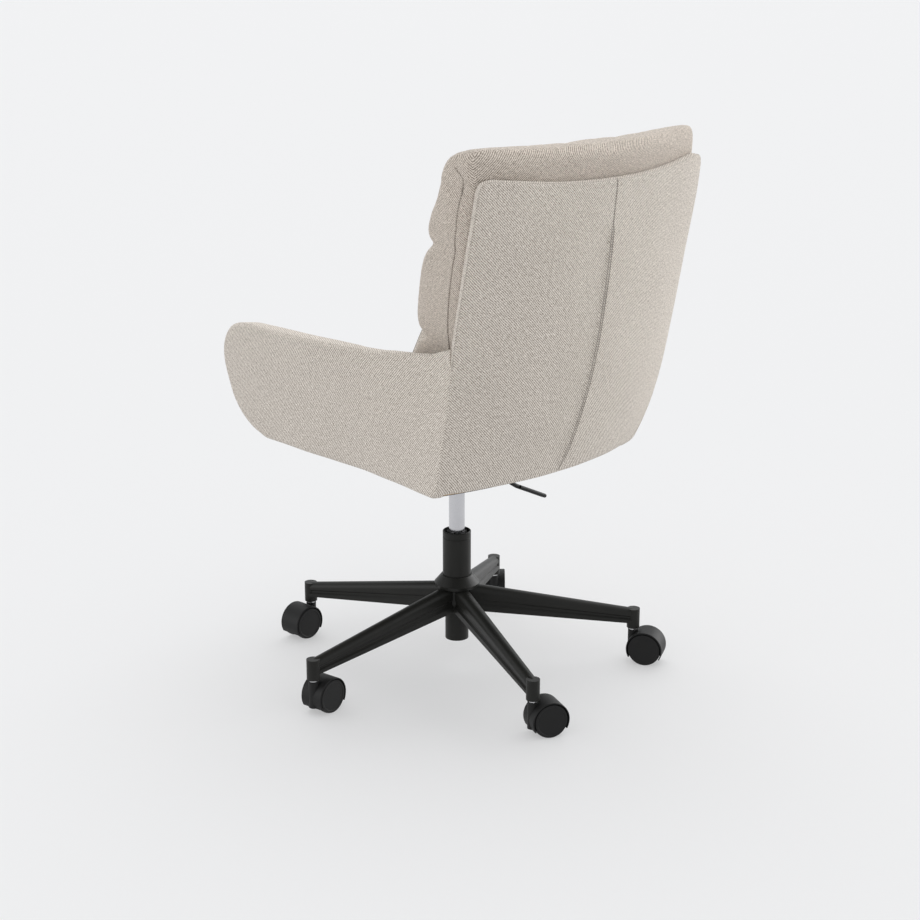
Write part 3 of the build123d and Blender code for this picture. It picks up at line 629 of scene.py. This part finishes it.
# ---------------------------------------------------------------- seat base cover
# The padded rail under the cushion: cloth drawn over the seat pan's edge and stapled underneath.
BASE_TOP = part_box("seat_base")[1].z
BASE_FRONT, BASE_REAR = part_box("seat_base")[0].y, 0.150
BASE_TUCK = 0.034  # how far its sides sit inside the arms' faces
BASE_BORDER = 0.014
BASE_FOOT = COVER_BOTTOM - 0.004


def base_place(across, along):
    """Seat base point: across from -1 to 1, along from front to rear."""
    wide, back = corner_round(abs(across), 1 - along, 0.24, 0.095)
    y = BASE_FRONT + BASE_BORDER + (1 - back) * (BASE_REAR - BASE_FRONT - 2 * BASE_BORDER)
    half = float(np.polyval(LOW_PLAN, y)) - BASE_TUCK - BASE_BORDER
    return Vector((wide * half * (1 if across > 0 else -1), y, BASE_TOP))


def base_edges(middle):
    """A full roll along the bottom and a tighter one under the cushion."""
    return (0.95, False) if middle.z < BASE_TOP - 0.01 else (0.7, False)


base_cover = cloth_sheet("seat_base_cover", spread(-1, 1, 0.07), spread(0, 1, 0.035), base_place, BASE_BORDER)
pad_out(base_cover, BASE_TOP - BASE_FOOT, BASE_BORDER, base_edges)
ruffle(base_cover, 0.0008, 15)
finish_cover(base_cover, lean=-1)
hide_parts("seat_base")

# the plywood pan under the padding, and the thin black cloth stapled below it round the plate
pan_low, pan_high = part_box("seat_pan")
dust_low, dust_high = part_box("dust_cover")
plate_low, plate_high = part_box("mechanism_plate")
PAN_INSET, PAN_REAR, PAN_BOW, PLATE_GAP = 0.048, 0.160, 0.028, 0.003


def pan_place(across, along):
    """Point of the pan's top: across from -1 to 1, along from front to rear, bowed out at the rear."""
    wide, back = corner_round(abs(across), 1 - along, 0.20, 0.09)
    y = pan_low.y + (1 - back) * (PAN_REAR - pan_low.y)
    half = float(np.polyval(LOW_PLAN, y)) - PAN_INSET
    x = wide * half * (1 if across > 0 else -1)
    return Vector((x, y + PAN_BOW * (1 - wide**2) * along**3, pan_high.z))


pan_ply = cloth_sheet("pan_ply", spread(-1, 1, 0.07), spread(0, 1, 0.035), pan_place, 0.002)
apply_modifier(pan_ply, "SOLIDIFY", thickness=pan_high.z - pan_low.z, offset=-1)
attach(pan_ply, "seat")
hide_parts("seat_pan")

dust_cloth = cloth_sheet("dust_cloth", spread(-1, 1, 0.02), spread(0, 1, 0.01), pan_place, 0.001)
for vertex in dust_cloth.data.vertices:
    vertex.co.z = dust_high.z
bpy.ops.object.mode_set(mode="EDIT")
bpy.ops.mesh.select_mode(type="FACE")
bpy.ops.mesh.select_all(action="DESELECT")
bpy.ops.object.mode_set(mode="OBJECT")
for face in dust_cloth.data.polygons:
    inside_x = plate_low.x - PLATE_GAP < face.center.x < plate_high.x + PLATE_GAP
    face.select = inside_x and plate_low.y - PLATE_GAP < face.center.y < plate_high.y + PLATE_GAP
bpy.ops.object.mode_set(mode="EDIT")
bpy.ops.mesh.delete(type="FACE")
bpy.ops.object.mode_set(mode="OBJECT")
apply_modifier(dust_cloth, "SOLIDIFY", thickness=dust_high.z - dust_low.z, offset=-1)
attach(dust_cloth, "seat")
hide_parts("dust_cover")


# ---------------------------------------------------------------- seat cushion
# A loose-looking box cushion between the arms: foam with a fibre wrap, domed on top, its cover sewn
# with a corded seam round the top and another round the bottom.
seat_low, seat_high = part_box("seat_cushion")
SEAT_HALF = seat_high.x - 0.002
SEAT_BORDER = 0.017
SEAT_CROWN = 0.013
SEAT_CORD = 0.0022  # radius of the corded seams
CLOTH_CELL = 0.006  # cell of a cushion's mesh while it is filled


def seat_place(across, along):
    """Seat cushion top point: across from -1 to 1, along from front to rear."""
    wide, far = corner_round(abs(across), abs(along), 0.26, 0.23)
    x = wide * (SEAT_HALF - SEAT_BORDER) * (1 if across > 0 else -1)
    middle_y = (seat_low.y + seat_high.y) / 2
    deep = (seat_high.y - seat_low.y) / 2 - SEAT_BORDER
    y = middle_y + far * deep * (1 if along > 0 else -1)
    crown = SEAT_CROWN * (1 - wide**4) * (1 - far**4)
    return Vector((x, y, seat_high.z - 0.003 + crown))


seat_pad = cloth_sheet("seat_pad", spread(-1, 1, 0.05), spread(-1, 1, 0.045), seat_place, SEAT_BORDER)
pad_out(seat_pad, 0.046, SEAT_BORDER, lambda middle: (0.9, False), segments=4, smooth=0)


def closed_copy_of_voxels(piece, size):
    """Remesh a piece into even cells, as a cloth simulation needs."""
    piece.data.remesh_voxel_size = size
    bpy.ops.object.select_all(action="DESELECT")
    piece.select_set(True)
    bpy.context.view_layer.objects.active = piece
    bpy.ops.object.voxel_remesh()


def swell(piece, pressure, cap, hold, frames=20):
    """Fill a cushion: a short cloth run under pressure, each point held to a cap.

    hold(point) is 1 where the cover is sewn or pressed down, and 0 where it is free.
    """
    held = piece.vertex_groups.new(name="held")
    for vertex in piece.data.vertices:
        held.add([vertex.index], hold(vertex.co), "REPLACE")
    before = [vertex.co.copy() for vertex in piece.data.vertices]
    cover = piece.modifiers.new("cloth", "CLOTH")
    cover.settings.quality = 5
    cover.settings.mass = 0.3
    cover.settings.tension_stiffness = 18
    cover.settings.compression_stiffness = 18
    cover.settings.shear_stiffness = 8
    cover.settings.bending_stiffness = 1.5
    cover.settings.use_pressure = True
    cover.settings.uniform_pressure_force = pressure
    cover.settings.effector_weights.gravity = 0
    cover.settings.vertex_group_mass = "held"
    cover.settings.pin_stiffness = 1
    cover.collision_settings.use_self_collision = False
    cover.collision_settings.use_collision = False
    cover.point_cache.frame_start = 1
    cover.point_cache.frame_end = frames
    scene = bpy.context.scene
    for number in range(1, frames + 1):
        scene.frame_set(number)
    bpy.context.view_layer.objects.active = piece
    bpy.ops.object.modifier_apply(modifier=cover.name)
    scene.frame_set(1)
    for vertex, start in zip(piece.data.vertices, before):
        move = vertex.co - start
        if move.length > cap:
            vertex.co = start + move.normalized() * cap


def cord_along(name, points, surface, radius, closed=True):
    """A sewn cord lying in a surface: points are drawn onto it and joined by a round cord."""
    line = bpy.data.curves.new(name, "CURVE")
    line.dimensions = "3D"
    line.bevel_depth = radius
    line.bevel_resolution = 2
    spline = line.splines.new("POLY")
    spline.points.add(len(points) - 1)
    for point, knot in zip(points, spline.points):
        _, place, normal, _ = surface.closest_point_on_mesh(Vector(point))
        knot.co = (*(place + normal * radius * 0.25), 1)
    spline.use_cyclic_u = closed
    cord = bpy.data.objects.new(name, line)
    bpy.context.scene.collection.objects.link(cord)
    bpy.ops.object.select_all(action="DESELECT")
    cord.select_set(True)
    bpy.context.view_layer.objects.active = cord
    bpy.ops.object.convert(target="MESH")
    return bpy.context.object


def join_to(piece, *others):
    """Join sewn-on cords to their cushion."""
    bpy.ops.object.select_all(action="DESELECT")
    for other in others:
        other.select_set(True)
    piece.select_set(True)
    bpy.context.view_layer.objects.active = piece
    bpy.ops.object.join()


closed_copy_of_voxels(seat_pad, CLOTH_CELL)
swell(seat_pad, 3.0, 0.010, lambda point: 1.0 if point.z < seat_low.z + 0.008 else 0.0)
apply_modifier(seat_pad, "SUBSURF", levels=1, render_levels=1)
ruffle(seat_pad, 0.0012, 16)
seat_middle = (seat_low.y + seat_high.y) / 2
seat_deep = (seat_high.y - seat_low.y) / 2
seat_ring = []
RING_STEPS = 160
for step in range(RING_STEPS):
    turn_by = 2 * pi * step / RING_STEPS
    across, along = np.cos(turn_by), np.sin(turn_by)
    reach = (abs(across) ** 5 + abs(along) ** 5) ** (-1 / 5)
    x, y = across * reach * (SEAT_HALF - 0.004), along * reach * (seat_deep - 0.003)
    seat_ring.append((x, seat_middle + y))
seat_cords = [
    cord_along("seat_cord", [(x, y, level) for x, y in seat_ring], seat_pad, SEAT_CORD)
    for level in (seat_high.z - 0.008, seat_low.z + 0.010)
]
join_to(seat_pad, *seat_cords)
finish_cover(seat_pad)
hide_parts("seat_cushion")


# ---------------------------------------------------------------- back cushion
# One long cushion sewn across into three rolls at the front, with plain side gussets.  It stands
# above the shell and its back panel wraps round to a seam just in front of the shell's edge.
PAD_LOW, PAD_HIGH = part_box("back_cushion_lower")[0].z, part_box("back_cushion_top")[1].z
PAD_HALF = 0.258
PAD_ROUND = 0.020
PAD_SEAMS = (0.674, 0.824)  # heights of the seams between the rolls
# lower and upper height, half widths and fronts there, and bulge of each roll
ROLLS = (
    ((0.440, PAD_SEAMS[0]), (0.168, 0.240), (0.126, 0.177), 0.052),
    (PAD_SEAMS, (0.242, 0.256), (0.176, 0.213), 0.036),
    ((PAD_SEAMS[1], 0.972), (0.257, 0.262), (0.210, 0.278), 0.034),
)
GUSSET_CORD, GUSSET_SHADE = 0.0011, 0.25  # radius and shade of the cords down the sides
ACROSS_SAG = 0.038  # the front is less hollow across than the shell behind it


def pad_section(height):
    """Half width and y of the cushion's front at the sides, at a height."""
    for (low, high), halves, fronts, bulge in ROLLS:
        if height <= high:
            break
    share = min(1, max(0, (height - low) / (high - low)))
    puff = (1 - (2 * share - 1) ** 4) ** 0.5
    half = halves[0] + share * (halves[1] - halves[0]) - 0.004 * (1 - puff)
    return half, fronts[0] + share * (fronts[1] - fronts[0]) - bulge * puff


def even_cuts(piece, axis, cuts):
    """Cut all the long edges that run along an axis."""
    bpy.ops.object.mode_set(mode="EDIT")
    bpy.ops.mesh.select_mode(type="EDGE")
    bpy.ops.mesh.select_all(action="DESELECT")
    bpy.ops.object.mode_set(mode="OBJECT")
    for edge in piece.data.edges:
        way = piece.data.vertices[edge.vertices[1]].co - piece.data.vertices[edge.vertices[0]].co
        edge.select = abs(way[axis]) > 0.95 * way.length and way.length > 0.03
    bpy.ops.object.mode_set(mode="EDIT")
    bpy.ops.mesh.subdivide(number_cuts=cuts)
    bpy.ops.object.mode_set(mode="OBJECT")


bpy.ops.mesh.primitive_cube_add(size=1)
back_pad = bpy.context.object
back_pad.name = back_pad.data.name = "back_pad"
BLOCK = Vector((2 * PAD_HALF, 0.080, PAD_HIGH - PAD_LOW))
for vertex in back_pad.data.vertices:
    vertex.co = Vector(vertex.co[k] * BLOCK[k] for k in range(3))
apply_modifier(back_pad, "BEVEL", width=PAD_ROUND, segments=5, limit_method="NONE")
even_cuts(back_pad, 0, 72)
even_cuts(back_pad, 2, 84)
even_cuts(back_pad, 1, 5)
for vertex in back_pad.data.vertices:
    across, deep, up = (2 * vertex.co[k] / BLOCK[k] for k in range(3))
    height = PAD_LOW + (up + 1) / 2 * BLOCK.z
    half, front = pad_section(height)
    x = across * half
    rear = on_back(x, min(height, BACK_HELD), SHELL_THICK + 0.001).y + max(0, height - BACK_HELD) * 0.1
    front += ACROSS_SAG * (1 - across * across)
    share = (deep + 1) / 2
    vertex.co = Vector((x, front + share * (rear - front), height))
back_pad.data.update()
closed_copy_of_voxels(back_pad, CLOTH_CELL)


def pad_hold(point):
    """The cushion is held where it leans on the shell and along the seams between its rolls."""
    rear = on_back(min(0.25, max(-0.25, point.x)), min(point.z, 0.92), SHELL_THICK).y
    if rear - point.y < 0.006 and point.z < 0.915:
        return 1.0
    return 1.0 if min(abs(point.z - seam) for seam in PAD_SEAMS) < 0.005 else 0.0


swell(back_pad, 3.5, 0.008, pad_hold)
apply_modifier(back_pad, "SMOOTH", factor=0.5, iterations=3)
apply_modifier(back_pad, "SUBSURF", levels=1, render_levels=1)
ruffle(back_pad, 0.0014, 15)
gusset_cords = []
for side in (-1, 1):
    run = []
    for height in spread(0.475, 0.925, 0.009):
        rear = back_row(height)[1] - SHELL_THICK
        run.append((side * 0.28, rear - 0.018, height))
    run.append((side * 0.262, back_row(BACK_HELD)[1] - 0.050, 0.945))
    gusset_cords.append(cord_along("gusset_cord", run, back_pad, GUSSET_CORD, closed=False))
# the cords down the sides get a little painted seam shade; the cushion gets the attribute with none
for cord in gusset_cords:
    mark_seam_shade(cord, [GUSSET_SHADE] * len(cord.data.vertices))
mark_seam_shade(back_pad, [])
join_to(back_pad, *gusset_cords)
finish_cover(back_pad)
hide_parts("back_cushion_lower", "back_cushion_middle", "back_cushion_top")


# ---------------------------------------------------------------- finishes of the frame
# Satin powder coat on the star and stand tube, matte moulded plastic on casters, bush and lever,
# a bright plated cylinder, and plain steel, rubber, plywood and black cloth for what is inside.
grain, given, result = new_group(
    "fine_grain",
    (
        ("Vector", "Vector", None),
        ("Tint", "Color", (0.02, 0.02, 0.02, 1)),
        ("Worn Tint", "Color", (0.04, 0.04, 0.04, 1)),
        ("Stretch", "Vector", (1500, 1500, 1500)),
    ),
    (("Color", "Color"), ("Height", "Float"), ("Roughness", "Float")),
)
scale = grain.nodes.new("ShaderNodeVectorMath")
scale.operation = "MULTIPLY"
link(grain, given.outputs["Vector"], scale.inputs[0])
link(grain, given.outputs["Stretch"], scale.inputs[1])
speck = grain.nodes.new("ShaderNodeTexNoise")
speck.inputs["Scale"].default_value = 1
speck.inputs["Detail"].default_value = 3
link(grain, scale.outputs[0], speck.inputs["Vector"])
cloudy = noise_node(grain, given.outputs["Vector"], (25, 25, 25), detail=4)
tint = grain.nodes.new("ShaderNodeMix")
tint.data_type = "RGBA"
wear = math_node(
    grain, "MULTIPLY_ADD", speck.outputs["Fac"], 0.6, math_node(grain, "MULTIPLY_ADD", cloudy, 0.8, -0.3),
)
link(grain, wear, tint.inputs["Factor"])
link(grain, given.outputs["Tint"], tint.inputs["A"])
link(grain, given.outputs["Worn Tint"], tint.inputs["B"])
link(grain, tint.outputs["Result"], result.inputs["Color"])
link(grain, speck.outputs["Fac"], result.inputs["Height"])
link(grain, cloudy, result.inputs["Roughness"])


def grained(name, roughness, vary, bump, tint, worn, stretch, **sockets):
    """A material of the fine grain group on Object coordinates, its roughness clouded a little."""
    made, tree, shader = new_material(name, roughness, **sockets)
    place = tree.nodes.new("ShaderNodeTexCoord")
    used = place_group(
        tree, grain, shader, place.outputs["Object"], bump,
        Tint=(*tint, 1), Worn_Tint=(*worn, 1), Stretch=stretch,
    )
    cloud = math_node(tree, "MULTIPLY_ADD", used.outputs["Roughness"], vary, roughness - vary / 2)
    link(tree, cloud, shader.inputs["Roughness"])
    return made


FINISHES = {
    "satin_black_paint": grained(
        "satin_black_coat", 0.40, 0.08, 0.00006, (0.010, 0.010, 0.009), (0.017, 0.017, 0.015),
        (900, 900, 900), Specular_IOR_Level=0.2,
    ),
    "black_plastic": grained(
        "matte_black_plastic", 0.52, 0.10, 0.00008, (0.008, 0.008, 0.008), (0.014, 0.014, 0.014),
        (1800, 1800, 1800), Specular_IOR_Level=0.2,
    ),
    "bright_cylinder": grained(
        "bright_plate", 0.24, 0.08, 0.00003, (0.60, 0.60, 0.62), (0.48, 0.48, 0.50), (60, 60, 4000),
        Metallic=1.0,
    ),
    "steel": grained(
        "machined_steel", 0.34, 0.10, 0.00005, (0.60, 0.60, 0.61), (0.48, 0.48, 0.49), (900, 900, 900),
        Metallic=1.0,
    ),
    "rubber": grained(
        "buffer_rubber", 0.75, 0.10, 0.00010, (0.02, 0.02, 0.02), (0.03, 0.03, 0.03), (700, 700, 700),
    ),
    "plywood": grained(
        "birch_plywood", 0.62, 0.10, 0.00020, (0.66, 0.50, 0.33), (0.50, 0.35, 0.21), (40, 700, 60),
    ),
    "black_cloth": grained(
        "black_underside_cloth", 0.95, 0.04, 0.00030, (0.018, 0.018, 0.018), (0.035, 0.035, 0.035),
        (1200, 1200, 1200),
    ),
}
PLAIN_FINISH = (
    (("star_hub", "star_arm", "stand_tube"), "satin_black_paint"),
    (("guide_bush", "lever_grip", "lever_rod", "bearing_cage"), "black_plastic"),
    (("gas_cylinder",), "bright_cylinder"),
    (("bump_stop",), "rubber"),
    (("seat_pan", "back_board", "arm_board"), "plywood"),
    (("dust_cover",), "black_cloth"),
    (("mechanism_plate", "taper_socket"), "satin_black_paint"),
)


def finish_for(name):
    """Which finish a frame node has."""
    if name.startswith("caster_") and name.endswith(("hood", "wheel_left", "wheel_right")):
        return "black_plastic"
    for starts, finish in PLAIN_FINISH:
        if name.startswith(starts):
            return finish
    return "steel"


back_ply.data.materials.append(FINISHES["plywood"])
pan_ply.data.materials.append(FINISHES["plywood"])
dust_cloth.data.materials.append(FINISHES["black_cloth"])
for name, node in nodes.items():
    if node.material_slots:
        for holder in node.material_slots:
            holder.material = FINISHES[finish_for(name)]
    else:
        node.data.materials.append(FINISHES[finish_for(name)])
